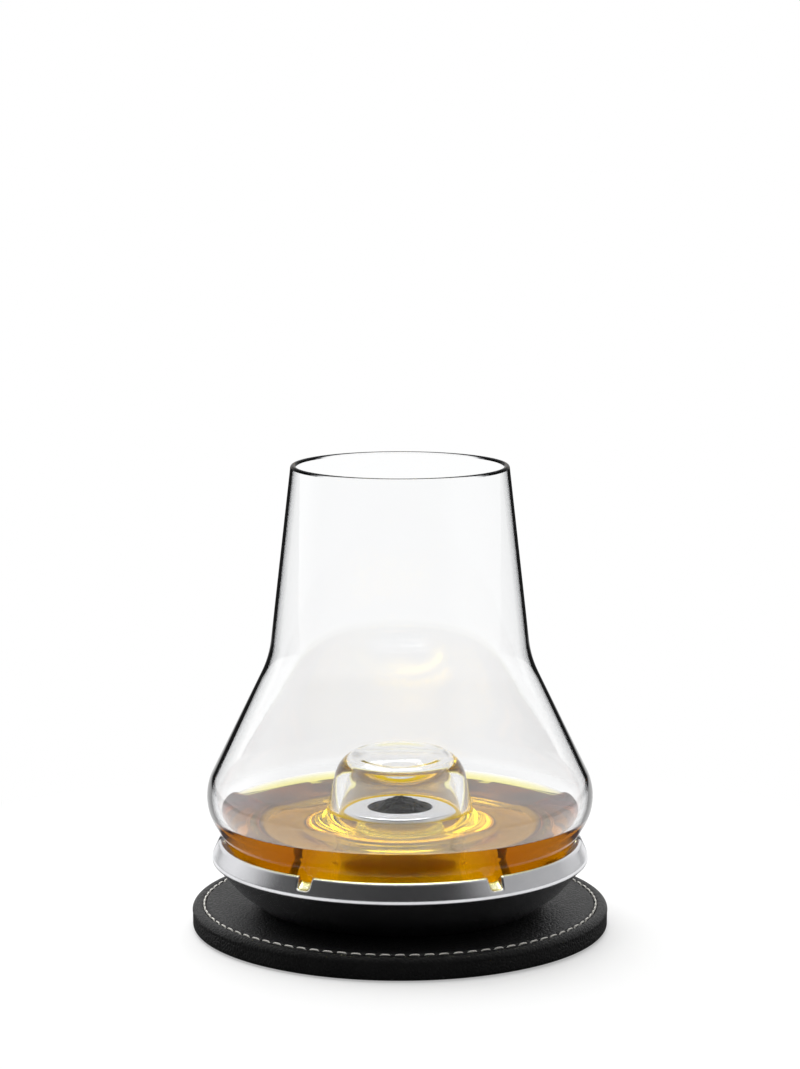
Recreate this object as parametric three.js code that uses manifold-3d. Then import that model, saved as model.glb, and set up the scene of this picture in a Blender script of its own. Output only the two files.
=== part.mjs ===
// Whisky tasting glass on a metal cooler and a stitched leather coaster.
// Millimetres, +Z up. The origin is the middle of the coaster's underside; -Y is the front.

import * as THREE from 'three';
import { mergeVertices } from 'three/addons/utils/BufferGeometryUtils.js';
import Module from 'manifold-3d';

const wasm = await Module();
wasm.setup();

// Coaster
const COASTER_RADIUS = 60;
const COASTER_THICKNESS = 7;
const COASTER_EDGE_FILLET = 1.7;
const COVER_FOOT_FILLET = 1.1;
const BASE_FILLET = 0.4;
const LEATHER = 1.6;
const LEATHER_TURN = 1.4; // the cover where it wraps down the edge
const COVER_LIFT = 0.4; // the turned edge stops this far above the table
const STITCH_INSET = 3.4; // from the coaster's edge to the line of stitches
const STITCH_COUNT = 88;
const THREAD_RADIUS = 0.36;
const THREAD_PROUD = 0.3; // how far a stitch stands out of the cover
const BOBBIN_LIFT = 0.1; // how far the under thread stays off the table
const GROOVE_FLOOR = 0.5; // leather left under the stitch groove
const DIP_GAP = 0.1; // between a dipped thread and the groove's floor
const LAYER_GAP = 0.3; // between the edges of the coaster's layers, and beside the threads

// Tasting glass, heights from its foot
const GLASS_HEIGHT = 121.7;
const RIM_RADIUS = 31.1;
const RIM_FILLET = 0.7;
const NECK_BASE_HEIGHT = 66.2;
const NECK_BASE_RADIUS = 37.5;
const NECK_FILLET = 30;
const BOWL_HEIGHT = 25.5; // where the bowl's two cones would meet
const BOWL_RADIUS = 57.6;
const BOWL_FILLET = 15;
const FOOT_RADIUS = 42.3;
const FOOT_FILLET = 6;
const NECK_WALL = 1.6;
const BOWL_WALL = 1.9;
const UNDER_WALL = 2.4;
const GLASS_FLOOR = 3;

// Hollow punt in the middle of the glass
const HOLLOW_HEIGHT = 35.6;
const HOLLOW_CROWN = 0.4; // rise of the hollow's roof
const HOLLOW_MOUTH_RADIUS = 22.4;
const HOLLOW_TOP_RADIUS = 14.2;
const HOLLOW_MOUTH_FILLET = 8;
const HOLLOW_TOP_FILLET = 2.4;
const PUNT_WALL = 3.7;
const PUNT_ROOF = 3;
const PUNT_CROWN = 1.2;
const PUNT_BASE_FILLET = 10;
const PUNT_TOP_FILLET = 9.5;

// Whisky
const WHISKY_LEVEL = 21.3; // above the glass's foot
const WHISKY_GAP = 0.3;

// Cooler, heights from its foot
const COOLER_HEIGHT = 18.7;
const COOLER_FLOOR = 5.5;
const COOLER_WALL = 3.25;
const SEAT_CLEARANCE = 1; // between the glass and the cooler's cone
const RIM_LIP = 0.8; // width of the rim's top edge
const BAND_FLARE = 2; // how far the band leans out below the rim
const BAND_HEIGHT = 4.5; // from the rim to the band's widest line
const BAND_LIP = 2.2; // from that line down to the band's lower edge
const BAND_TUCK = 1.2; // how far the lower edge draws in
const COOLER_FOOT_INSET = 7.1;
const COOLER_FOOT_FILLET = 1.5;
const UNDERSIDE_FILLET = 8;
const BAND_LOWER_FILLET = 0.6;
const BAND_FILLET = 1.2;
const RIM_EDGE_FILLET = 0.35;
const CONE_FOOT_FILLET = 3;
const NOTCH_COUNT = 6;
const NOTCH_WIDTH = 4;
const NOTCH_DEPTH = 3.4;
const NOTCH_FILLET = 0.9;
const BOSS_CLEARANCE = 1.4; // between the boss and the hollow of the glass
const BOSS_HEIGHT = 27;
const BOSS_CROWN = 0.7;
const BOSS_BASE_FILLET = 4;
const BOSS_TOP_FILLET = 0.6;

// Badge on the boss
const BADGE_RADIUS = 9.1;
const BADGE_SEAT_DEPTH = 0.8;
const BADGE_EDGE = 1; // height of its upright edge
const BADGE_HEIGHT = 4.1;
const BADGE_CLEARANCE = 0.3;

// Fineness of the turned shapes
const TURN_STEPS = 48;
const ARC_STEP = THREE.MathUtils.degToRad(24);
const FILLET_ROOM = 0.98; // of a line, the most that the arcs at its two ends may take
const BADGE_STEPS = 4;
const RINGS_PER_STITCH = 3;
const MERGE_DISTANCE = 1e-4;

const finish = (color, roughness, metalness = 0) =>
  new THREE.MeshStandardMaterial({ color, roughness, metalness });

const clearGlass = finish(0xf4f8f8, 0.05);
clearGlass.transparent = true;
clearGlass.opacity = 0.35;
const amberWhisky = finish(0xc8781e, 0.05);
amberWhisky.transparent = true;
amberWhisky.opacity = 0.8;
const satinMetal = finish(0xc9cacc, 0.35, 1);
const darkBadge = finish(0x26262a, 0.4);
const blackLeather = finish(0x222224, 0.55);
const greyBoard = finish(0x77706a, 0.9);
const creamThread = finish(0xd9d3c4, 0.8);

// A corner of a turned outline: distance from the axis, height, and the arc that rounds it.
const corner = (r, z, fillet = 0) => ({ r, z, fillet });

// How far along the line to a neighbour a corner's arc may reach.
function roomTowards(c, neighbour) {
  const line = Math.hypot(neighbour.r - c.r, neighbour.z - c.z);
  return (FILLET_ROOM * line * c.fillet) / (c.fillet + neighbour.fillet);
}

const isEnd = (corners, i) => i === 0 || i === corners.length - 1;

// The directions from a corner to its neighbours, and half the angle between them.
function sidesOf(corners, i) {
  const here = new THREE.Vector2(corners[i].r, corners[i].z);
  const towards = (c) => new THREE.Vector2(c.r, c.z).sub(here).normalize();
  const back = towards(corners[i - 1]);
  const ahead = towards(corners[i + 1]);
  const half = Math.acos(THREE.MathUtils.clamp(back.dot(ahead), -1, 1)) / 2;
  return { here, back, ahead, half };
}

// The radius of the arc at each inner corner, kept small enough for the lines beside it.
function arcRadii(corners) {
  return corners.map((c, i) => {
    if (!c.fillet || isEnd(corners, i)) {
      return 0;
    }
    const room = Math.min(roomTowards(c, corners[i - 1]), roomTowards(c, corners[i + 1]));
    return Math.min(c.fillet, room * Math.tan(sidesOf(corners, i).half));
  });
}

// Rounds each corner of an outline with its arc.
function rounded(corners, radii = arcRadii(corners)) {
  const points = [];
  corners.forEach((c, i) => {
    const radius = radii[i];
    if (!radius || isEnd(corners, i)) {
      points.push(new THREE.Vector2(c.r, c.z));
      return;
    }
    const { here, back, ahead, half } = sidesOf(corners, i);
    const reach = radius / Math.tan(half);
    const middle = back.clone().add(ahead).normalize();
    const centre = here.clone().addScaledVector(middle, radius / Math.sin(half));
    const start = here.clone().addScaledVector(back, reach).sub(centre);
    const end = here.clone().addScaledVector(ahead, reach).sub(centre);
    const sweep = Math.atan2(start.cross(end), start.dot(end));
    const steps = Math.ceil(Math.abs(sweep) / ARC_STEP);
    for (let k = 0; k <= steps; k += 1) {
      const spoke = start.clone().rotateAround(new THREE.Vector2(), (sweep * k) / steps);
      points.push(spoke.add(centre));
    }
  });
  return points;
}

// Moves each line of an outline to its left by its own distance and finds the corners again.
function offset(corners, distances) {
  const lines = distances.map((distance, i) => {
    const a = corners[i];
    const b = corners[i + 1];
    const along = new THREE.Vector2(b.r - a.r, b.z - a.z).normalize();
    const left = new THREE.Vector2(-along.y, along.x);
    return { at: new THREE.Vector2(a.r, a.z).addScaledVector(left, distance), along };
  });
  return lines.slice(1).map((line, i) => meet(lines[i], line));
}

// Where two lines cross.
function meet(one, other) {
  const between = other.at.clone().sub(one.at);
  const t = between.cross(other.along) / one.along.cross(other.along);
  return one.at.clone().addScaledVector(one.along, t);
}

// Radius of the straight line from corner a to corner b at a height.
const radiusAt = (a, b, z) => a.r + ((b.r - a.r) * (z - a.z)) / (b.z - a.z);

// The part of an outline below a level, cut off square at both ends.
function below(points, level) {
  const kept = [];
  points.forEach((p, i) => {
    const last = points[i - 1];
    if (last && (last.y > level) !== (p.y > level)) {
      kept.push(last.clone().lerp(p, (level - last.y) / (p.y - last.y)));
    }
    if (p.y <= level) {
      kept.push(p);
    }
  });
  return kept;
}

// Turns an outline about the upright axis.
const turned = (points, steps = TURN_STEPS) => new THREE.LatheGeometry(points, steps).rotateX(Math.PI / 2);

// A geometry as a closed solid for cutting, without the flat faces at a turned shape's poles.
function solid(geometry) {
  const bare = geometry.clone();
  bare.deleteAttribute('normal');
  bare.deleteAttribute('uv');
  const merged = mergeVertices(bare, MERGE_DISTANCE);
  const index = merged.index.array;
  const faces = [];
  for (let i = 0; i < index.length; i += 3) {
    const [a, b, c] = index.slice(i, i + 3);
    if (a !== b && b !== c && c !== a) {
      faces.push(a, b, c);
    }
  }
  const vertProperties = new Float32Array(merged.attributes.position.array);
  return new wasm.Manifold(new wasm.Mesh({ numProp: 3, vertProperties, triVerts: new Uint32Array(faces) }));
}

// A cut solid as geometry again.
function geometryOf(manifold) {
  const mesh = manifold.getMesh();
  const geometry = new THREE.BufferGeometry();
  geometry.setAttribute('position', new THREE.BufferAttribute(mesh.vertProperties, 3));
  geometry.setIndex(new THREE.BufferAttribute(mesh.triVerts, 1));
  return geometry;
}

function named(name, geometry, material) {
  const mesh = new THREE.Mesh(geometry, material);
  mesh.name = name;
  return mesh;
}

// The glass's outer wall from foot to rim, and the inner wall that follows it.
const outerWall = [
  corner(0, 0),
  corner(FOOT_RADIUS, 0, FOOT_FILLET),
  corner(BOWL_RADIUS, BOWL_HEIGHT, BOWL_FILLET),
  corner(NECK_BASE_RADIUS, NECK_BASE_HEIGHT, NECK_FILLET),
  corner(RIM_RADIUS, GLASS_HEIGHT, RIM_FILLET),
  corner(0, GLASS_HEIGHT),
];
const wallFillets = [FOOT_FILLET, BOWL_FILLET - BOWL_WALL, NECK_FILLET + NECK_WALL, RIM_FILLET];

function innerWall(extra) {
  const walls = [GLASS_FLOOR, UNDER_WALL + extra, BOWL_WALL + extra, NECK_WALL + extra, 0];
  return offset(outerWall, walls).map((p, i) => corner(p.x, p.y, wallFillets[i]));
}

// The punt's hollow underside, and the dome that the whisky lies round.
const hollow = [
  corner(0, HOLLOW_HEIGHT + HOLLOW_CROWN),
  corner(HOLLOW_TOP_RADIUS, HOLLOW_HEIGHT, HOLLOW_TOP_FILLET),
  corner(HOLLOW_MOUTH_RADIUS, 0, HOLLOW_MOUTH_FILLET),
];
const puntTop = HOLLOW_HEIGHT + PUNT_ROOF;

function dome(extra) {
  const out = PUNT_WALL + extra;
  const base = radiusAt(hollow[1], hollow[2], GLASS_FLOOR) + out;
  const top = radiusAt(hollow[1], hollow[2], puntTop) + out;
  return [
    corner(base, GLASS_FLOOR, PUNT_BASE_FILLET),
    corner(top, puntTop, PUNT_TOP_FILLET),
    corner(0, puntTop + PUNT_CROWN),
  ];
}

// The glass's inside from rim to dome, and the whole outline that it belongs to.
const inside = (extra) => [...innerWall(extra).reverse(), ...dome(extra)];
const glassOutline = [...hollow, ...outerWall.slice(1, 5), ...inside(0)];

function tastingGlass() {
  return named('tasting_glass', turned(rounded(glassOutline)), clearGlass);
}

// The whisky keeps the arcs of the glass that holds it.
function whisky() {
  const walls = inside(WHISKY_GAP);
  const radii = arcRadii(glassOutline).slice(-walls.length);
  const filled = below(rounded(walls, radii), WHISKY_LEVEL).reverse();
  filled.push(filled[0].clone());
  return named('whisky', turned(filled), amberWhisky);
}

// The cooler's cone follows the glass's underside, and its boss follows the hollow.
const glassCone = [corner(0, COOLER_FLOOR), ...outerWall.slice(1, 3)].map((c, i) =>
  corner(c.r, i ? c.z + COOLER_FLOOR : c.z),
);
const bossRadius = (z) => radiusAt(hollow[1], hollow[2], z - COOLER_FLOOR) - BOSS_CLEARANCE;
const badgeSeat = BOSS_HEIGHT + BOSS_CROWN - BADGE_SEAT_DEPTH;

function coolerDish() {
  const coneFoot = offset(glassCone, [0, -SEAT_CLEARANCE])[0];
  const underFoot = offset(glassCone, [0, -SEAT_CLEARANCE - COOLER_WALL])[0];
  const slope = (BOWL_RADIUS - FOOT_RADIUS) / BOWL_HEIGHT;
  const coneAt = (z) => coneFoot.x + (z - COOLER_FLOOR) * slope;
  const rimOut = coneAt(COOLER_HEIGHT) + RIM_LIP;
  const widest = rimOut + BAND_FLARE;
  const widestHeight = COOLER_HEIGHT - BAND_HEIGHT;
  const seatRadius = BADGE_RADIUS + BADGE_CLEARANCE;
  const outline = [
    corner(0, 0),
    corner(underFoot.x - COOLER_FOOT_INSET, 0, COOLER_FOOT_FILLET),
    corner(underFoot.x, COOLER_FLOOR, UNDERSIDE_FILLET),
    corner(widest - BAND_TUCK, widestHeight - BAND_LIP, BAND_LOWER_FILLET),
    corner(widest, widestHeight, BAND_FILLET),
    corner(rimOut, COOLER_HEIGHT, RIM_EDGE_FILLET),
    corner(coneAt(COOLER_HEIGHT), COOLER_HEIGHT, RIM_EDGE_FILLET),
    corner(coneFoot.x, COOLER_FLOOR, CONE_FOOT_FILLET),
    corner(bossRadius(COOLER_FLOOR), COOLER_FLOOR, BOSS_BASE_FILLET),
    corner(bossRadius(BOSS_HEIGHT), BOSS_HEIGHT, BOSS_TOP_FILLET),
    corner(seatRadius, BOSS_HEIGHT + BOSS_CROWN),
    corner(seatRadius, badgeSeat),
    corner(0, badgeSeat),
  ];
  let body = solid(turned(rounded(outline)));
  for (let i = 0; i < NOTCH_COUNT; i += 1) {
    body = body.subtract(solid(notchCutter(widest, (i * 2 * Math.PI) / NOTCH_COUNT)));
  }
  return named('cooler_dish', geometryOf(body), satinMetal);
}

// A slot with rounded bottom corners, lying out along the rim at an angle from +X.
function notchCutter(reach, angle) {
  const half = NOTCH_WIDTH / 2;
  const over = NOTCH_DEPTH;
  const slot = new THREE.Shape();
  slot.moveTo(-half, over);
  slot.lineTo(-half, NOTCH_FILLET - NOTCH_DEPTH);
  slot.absarc(NOTCH_FILLET - half, NOTCH_FILLET - NOTCH_DEPTH, NOTCH_FILLET, Math.PI, 1.5 * Math.PI);
  slot.lineTo(half - NOTCH_FILLET, -NOTCH_DEPTH);
  slot.absarc(half - NOTCH_FILLET, NOTCH_FILLET - NOTCH_DEPTH, NOTCH_FILLET, 1.5 * Math.PI, 2 * Math.PI);
  slot.lineTo(half, over);
  const length = reach / 2;
  const cutter = new THREE.ExtrudeGeometry(slot, { depth: length, bevelEnabled: false, curveSegments: 3 });
  cutter.rotateX(Math.PI / 2);
  cutter.translate(0, reach + over, COOLER_HEIGHT);
  return cutter.rotateZ(angle - Math.PI / 2);
}

function coolerBadge() {
  const crownRise = BADGE_HEIGHT - BADGE_EDGE;
  const crown = (BADGE_RADIUS ** 2 + crownRise ** 2) / (2 * crownRise);
  const points = [new THREE.Vector2(0, 0), new THREE.Vector2(BADGE_RADIUS, 0)];
  const half = Math.asin(BADGE_RADIUS / crown);
  for (let i = 0; i <= BADGE_STEPS; i += 1) {
    const angle = half * (1 - i / BADGE_STEPS);
    points.push(new THREE.Vector2(crown * Math.sin(angle), BADGE_HEIGHT - crown * (1 - Math.cos(angle))));
  }
  const badge = named('cooler_badge', turned(points, TURN_STEPS / 2), darkBadge);
  badge.position.z = badgeSeat;
  return badge;
}

// Coaster: a leather cover turned over a board core, closed by a leather base and sewn round.
const stitchRadius = COASTER_RADIUS - STITCH_INSET;
const grooveHalf = THREAD_RADIUS + LAYER_GAP;
const grooveDepth = LEATHER - GROOVE_FLOOR;
const coreRadius = COASTER_RADIUS - LEATHER_TURN - LAYER_GAP;
const coreTop = COASTER_THICKNESS - LEATHER;

// The stitch groove's four corners in a face at a height, cut in the direction of down.
const groove = (z, down) => [
  corner(stitchRadius - grooveHalf, z),
  corner(stitchRadius - grooveHalf, z + down * grooveDepth),
  corner(stitchRadius + grooveHalf, z + down * grooveDepth),
  corner(stitchRadius + grooveHalf, z),
];

function coasterTopLeather() {
  const innerRadius = COASTER_RADIUS - LEATHER_TURN;
  const outline = [
    corner(0, coreTop),
    corner(innerRadius, coreTop),
    corner(innerRadius, COVER_LIFT),
    corner(COASTER_RADIUS, COVER_LIFT, COVER_FOOT_FILLET),
    corner(COASTER_RADIUS, COASTER_THICKNESS, COASTER_EDGE_FILLET),
    ...groove(COASTER_THICKNESS, -1).reverse(),
    corner(0, COASTER_THICKNESS),
  ];
  return named('coaster_top_leather', turned(rounded(outline)), blackLeather);
}

function coasterCore() {
  const outline = [
    corner(0, LEATHER),
    corner(coreRadius, LEATHER),
    corner(coreRadius, coreTop),
    corner(0, coreTop),
  ];
  return named('coaster_core', turned(rounded(outline)), greyBoard);
}

function coasterBaseLeather() {
  const outline = [
    corner(0, 0),
    ...groove(0, 1),
    corner(coreRadius, 0, BASE_FILLET),
    corner(coreRadius, LEATHER),
    corner(0, LEATHER),
  ];
  return named('coaster_base_leather', turned(rounded(outline)), blackLeather);
}

// A ring of thread that lies along the face for each stitch and dips between stitches.
function thread(name, faceHeight, lie, dip) {
  const ring = new THREE.TorusGeometry(stitchRadius, THREAD_RADIUS, 4, STITCH_COUNT * RINGS_PER_STITCH);
  const position = ring.attributes.position;
  const pitch = (2 * Math.PI) / STITCH_COUNT;
  for (let i = 0; i < position.count; i += 1) {
    const angle = Math.atan2(position.getY(i), position.getX(i)) + 2 * Math.PI;
    const rings = Math.round((angle / pitch) * RINGS_PER_STITCH);
    const inHole = rings % RINGS_PER_STITCH === 0;
    position.setZ(i, position.getZ(i) + faceHeight + (inHole ? dip : lie));
  }
  return named(name, ring, creamThread);
}

const threadLie = THREAD_PROUD - THREAD_RADIUS;
const threadDip = grooveDepth - DIP_GAP - THREAD_RADIUS;
const stitchThread = thread('stitch_thread', COASTER_THICKNESS, threadLie, -threadDip);
const bobbinThread = thread('bobbin_thread', 0, THREAD_RADIUS + BOBBIN_LIFT, threadDip);

const glass = new THREE.Group();
glass.position.z = COOLER_FLOOR;
glass.add(tastingGlass(), whisky());

const cooler = new THREE.Group();
cooler.position.z = COASTER_THICKNESS;
cooler.add(coolerDish(), coolerBadge(), glass);

const whiskyGlassWithCooler = new THREE.Group();
whiskyGlassWithCooler.add(
  coasterTopLeather(),
  coasterCore(),
  coasterBaseLeather(),
  stitchThread,
  bobbinThread,
  cooler,
);

export default whiskyGlassWithCooler;
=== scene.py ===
"""Looks for a whisky tasting glass on a metal cooler and a stitched leather coaster.

Metres, +Z up, the coaster's underside on the floor at the origin, the front towards -Y.
"""

import math

import bmesh
import bpy
import numpy as np
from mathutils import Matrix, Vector, noise


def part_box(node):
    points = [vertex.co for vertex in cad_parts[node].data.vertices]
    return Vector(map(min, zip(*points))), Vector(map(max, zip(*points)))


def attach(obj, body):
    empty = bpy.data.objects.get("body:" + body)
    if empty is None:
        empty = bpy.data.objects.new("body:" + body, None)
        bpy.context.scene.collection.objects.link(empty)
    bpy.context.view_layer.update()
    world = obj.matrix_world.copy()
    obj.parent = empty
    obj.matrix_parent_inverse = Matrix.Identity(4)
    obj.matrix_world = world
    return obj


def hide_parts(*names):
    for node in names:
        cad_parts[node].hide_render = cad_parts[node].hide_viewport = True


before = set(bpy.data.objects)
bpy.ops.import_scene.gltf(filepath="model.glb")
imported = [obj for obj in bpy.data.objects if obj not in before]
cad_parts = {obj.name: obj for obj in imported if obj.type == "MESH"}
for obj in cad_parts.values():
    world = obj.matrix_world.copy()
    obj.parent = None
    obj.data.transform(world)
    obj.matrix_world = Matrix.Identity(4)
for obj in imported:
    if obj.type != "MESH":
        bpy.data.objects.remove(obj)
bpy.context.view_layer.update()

MM = 0.001
FULL_TURN = 2 * math.pi

# Places taken from the frame
GLASS_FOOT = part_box("tasting_glass")[0].z
GLASS_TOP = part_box("tasting_glass")[1].z
COOLER_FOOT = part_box("cooler_dish")[0].z
BADGE_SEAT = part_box("cooler_badge")[0].z
BADGE_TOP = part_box("cooler_badge")[1].z
BADGE_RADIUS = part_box("cooler_badge")[1].x
COASTER_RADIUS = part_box("coaster_top_leather")[1].x
COASTER_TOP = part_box("coaster_top_leather")[1].z
COVER_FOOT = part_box("coaster_top_leather")[0].z
CORE_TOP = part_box("coaster_core")[1].z
CORE_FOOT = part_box("coaster_core")[0].z
BASE_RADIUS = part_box("coaster_base_leather")[1].x

# Tasting glass, heights from its foot
GLASS_HEIGHT = GLASS_TOP - GLASS_FOOT
RIM_RADIUS = 31.1 * MM
RIM_FILLET = 0.75 * MM
NECK_BASE_HEIGHT = 66.2 * MM
NECK_BASE_RADIUS = 37.5 * MM
NECK_FILLET = 30 * MM
BOWL_HEIGHT = 25.5 * MM
BOWL_RADIUS = 57.6 * MM
BOWL_FILLET = 15 * MM
FOOT_RADIUS = 42.3 * MM
FOOT_FILLET = 6 * MM
NECK_WALL = 1.6 * MM
BOWL_WALL = 1.9 * MM
UNDER_WALL = 2.4 * MM
GLASS_FLOOR = 3 * MM
UNDERSIDE_SHARE = 0.6  # below this share of the floor's thickness, a face belongs to the underside

# Hollow punt
HOLLOW_HEIGHT = 35.6 * MM
HOLLOW_CROWN = 0.4 * MM
HOLLOW_MOUTH_RADIUS = 22.4 * MM
HOLLOW_TOP_RADIUS = 14.2 * MM
HOLLOW_MOUTH_FILLET = 8 * MM
HOLLOW_TOP_FILLET = 2.4 * MM
PUNT_WALL = 3.7 * MM
PUNT_ROOF = 3 * MM
PUNT_CROWN = 1.2 * MM
PUNT_BASE_FILLET = 10 * MM
PUNT_TOP_FILLET = 9.5 * MM

# Whisky
WHISKY_LEVEL = 21.3 * MM  # above the glass's foot
WHISKY_BITE = 0.15 * MM  # into the glass, so that no air is left where the two meet
MENISCUS_RISE = 0.5 * MM
MENISCUS_WIDTH = 2.5 * MM
SHORE = WHISKY_LEVEL + MENISCUS_RISE  # where the surface meets the bowl
SURFACE_RINGS = 56
SURFACE_TILT = 0.1  # a face of the whisky that points up by more than this meets air

# Light in glass and whisky
GLASS_IOR = 1.5
WHISKY_IOR = 1.36
EDGE_IOR = 1.04  # where the wall turns right away, so that its painted dark edge mirrors little
IN_AIR = "in_air"  # attribute that marks the faces of glass and whisky that meet air
PAINTED_EDGE_SHADE = "painted_edge_shade"  # attribute that says how strongly painted edge shade darkens a face of the glass as it turns away
RIM_SHADE = 2.2  # the rounded rim gets this much painted edge shade, where the outer wall has 1

# Cooler, heights from its foot
COOLER_HEIGHT = 18.7 * MM
COOLER_FLOOR = 5.5 * MM
COOLER_WALL = 3.25 * MM
COOLER_FOOT_INSET = 7.1 * MM
COOLER_FOOT_FILLET = 1.5 * MM
UNDERSIDE_FILLET = 8 * MM
SEAT_CLEARANCE = 1 * MM
SEAT_GAP = 0.02 * MM  # keeps the seat just clear of the glass's foot
SEAT_FILLET = 3 * MM
RIM_LIP = 0.8 * MM
BAND_FLARE = 2 * MM
BAND_HEIGHT = 4.5 * MM
BAND_FILLET = 1.8 * MM
BAND_LIP = 2.2 * MM
BAND_LIP_FILLET = 0.7 * MM
BAND_TUCK = 1.2 * MM
BAND_EDGE = 1.1 * MM  # upright edge below the band
BAND_EDGE_FILLET = 0.5 * MM
BOSS_CLEARANCE = 1.4 * MM
BOSS_HEIGHT = 27 * MM
BOSS_CROWN = 0.7 * MM
BOSS_FOOT_FILLET = 4 * MM
BOSS_TOP_FILLET = 0.6 * MM
BADGE_GAP = 0.3 * MM
BADGE_SEAT_FILLET = 0.15 * MM

# Notches in the cooler's rim
NOTCH_COUNT = 6
NOTCH_WIDTH = 4 * MM
NOTCH_DEPTH = 3.4 * MM
NOTCH_FLOOR_FILLET = 0.9 * MM
NOTCH_TOP_FILLET = 0.7 * MM
NOTCH_DRAFT = math.radians(6)
NOTCH_EDGE = 0.6 * MM  # rounding where the notch leaves the band and the cone
NOTCH_CONE_SHARE = 0.7  # the cone is rounded by this share of it
NOTCH_INNER_SHARE = 0.5  # the floor slopes up inwards, to this share of the depth

# Badge
BADGE_EDGE = 0.5 * MM
BADGE_EDGE_SHARE = 0.7  # the edge is upright up to here
BADGE_BLUNT = 0.13  # how round the tip of the mound is, as a share of its radius
BADGE_SWELL = 1.05  # power that hollows the mound's sides a little
BADGE_SHRINK = 0.995  # keeps the mound just inside its edge
BADGE_RISE_SHARE = 0.95  # leaves room for the lumps
BADGE_SINK = 0.1  # mm, so that no lump rises past the CAD
BADGE_LUMPS = ((0.4, 0.4), (0.95, 0.3), (2.2, 0.1))  # waves in a mm, height in mm
BADGE_CALM_EDGE = 1.5 * MM

# Coaster
LEATHER_TURN = 1.4 * MM
EDGE_FILLET = 1.7 * MM
COVER_FOOT_FILLET = 1.1 * MM
SIDE_WAVE = 0.08 * MM
SIDE_WAVES = 3
SIDE_INSET = 0.1 * MM  # room for the wave inside the coaster's radius
TOP_WAVE = 0.05 * MM
TOP_WAVES = 5
TOP_WAVE_DRIFT = 0.3 / MM  # how fast the wave changes inwards
TOP_INSET = 0.05 * MM
HEM_WIDTH = 0.5 * MM  # of the turned edge, left still
CALM_MIDDLE = 12 * MM  # from the stitches to the leather that is left still
CREASE_DEPTH = 0.42 * MM
CREASE_WIDTH = 0.62 * MM
HOLE_DEPTH = 0.3 * MM
HOLE_WIDTH = 0.5 * MM
PAD_RISE = 0.06 * MM  # of the leather on both sides of the stitches
PAD_PLACE = 1.25 * MM
PAD_WIDTH = 0.7 * MM
PAD_EVEN = 0.7  # share of the rise that is the same at a hole and between two
BASE_GROOVE_DEPTH = 0.75 * MM
BASE_GROOVE_HALF = 0.7 * MM
BASE_GROOVE_TAPER = 0.6
BASE_GROOVE_FILLET = 0.3 * MM
BASE_EDGE_FILLET = 0.4 * MM

# Stitches
STITCH_RADIUS = COASTER_RADIUS - 3.4 * MM
STITCH_COUNT = 88
STITCH_LENGTH = 3.2 * MM
STITCH_DIP = 0.75 * MM  # of its two ends
DIP_POWER = 5  # the higher, the nearer to the ends it dips
STITCH_TAPER = 0.25
TAPER_POWER = 6
STITCH_SKEW = math.radians(2.5)
THREAD_RADIUS = 0.26 * MM
THREAD_PROUD = 0.14 * MM
UNDER_THREAD_LIFT = 0.12 * MM  # off the table
THREAD_STRANDS = 3
THREAD_TWIST = 4.4  # strands passed from end to end of a stitch
STRAND_RELIEF = 0.13
NEEDLE_SEED = 3
BOBBIN_SEED = 5

# Photograph's viewpoint
CAMERA_PLACE = (0, -0.893, 0.249)
CAMERA_TILT = math.radians(8.59)
CAMERA_LENS = 106.79

# Studio
FLOOR_RADIUS = 4.0
FLOOR_SIDES = 96
FLOOR_FADE = (0.09, 0.2)  # from the middle, where the shadow gives way to white
NEAR_DARK = (0.095, 0.112)  # from the middle, where the dark of mirrored rays ends
FAR_DARK = (0.35, 0.6)  # and where it begins again
LAMP_PLACE = (-0.2, 0.35, 1.3)
LAMP_AIM = (0, 0, 0.06)
LAMP_SIZE = (1.4, 1.0)
LAMP_POWER = 18
ROOM_STRENGTH = 0.95
ROOM_BEARINGS = [  # degrees from the front to the right, and how bright the room is there
    (-180, 1), (-112, 1), (-84, 0.1), (0, 0.03), (40, 0.05), (60, 0.45), (115, 0.55), (150, 1), (180, 1),
]
CEILING = (0.7, 0.9)  # how steeply up the room turns white
HORIZON = (0.12, 0.3)  # how steeply up clear pieces stop showing plain white

# Fineness
GLASS_COLUMNS = 192
BADGE_COLUMNS = 120
BADGE_RINGS = 44
COVER_COLUMNS = STITCH_COUNT * 8
SEWN_RINGS = np.arange(-1.5, 2.41, 0.15)  # of the cover, mm inwards from the stitches
MIDDLE_RINGS = (3, 4, 5.5, 7.5, 10, 14, 20, 30, 42)
SIDE_ROWS = 14
SIDE_MARGIN = 0.1 * MM  # from a row of the side to the roundings
PLAIN_COLUMNS = 36  # of the cooler, from notch to notch
COLUMN_SHARES = (0, 0.02, 0.06, 0.12, 0.2, 0.3, 0.42, 0.6, 0.8, 1)  # close together at the rim
CONE_SHARE = 0.5  # of the cone that these rows cover
NOTCH_FLOOR_SHARES = (0.25, 0.5, 0.75)
NOTCH_FLOOR_STEPS = 4
NOTCH_WALL_STEPS = 6
BESIDE_NOTCH = (0.12 * MM, 0.28 * MM, 0.5 * MM, 0.9 * MM, 1.5 * MM)
STITCH_RINGS = 18
STITCH_SIDES = 12
ARC_STEP = math.radians(3.5)
COOLER_ARC_STEP = math.radians(6)
NOTCH_ARC_STEP = math.radians(12)
COVER_ARC_STEP = math.radians(7)
BASE_ARC_STEP = math.radians(15)
FILLET_ROOM = 0.98
MERGE_DISTANCE = 1e-7
FLAT_DISTANCE = 1e-8


# Turned shapes
def corner(r, z, fillet=0.0):
    """A corner of a turned outline: distance from the axis, height, and the arc that rounds it."""
    return (r, z, fillet)


def room_towards(here, neighbour):
    """How far along the line to a neighbour a corner's arc may reach."""
    line = math.hypot(neighbour[0] - here[0], neighbour[1] - here[1])
    return FILLET_ROOM * line * here[2] / (here[2] + neighbour[2])


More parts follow.
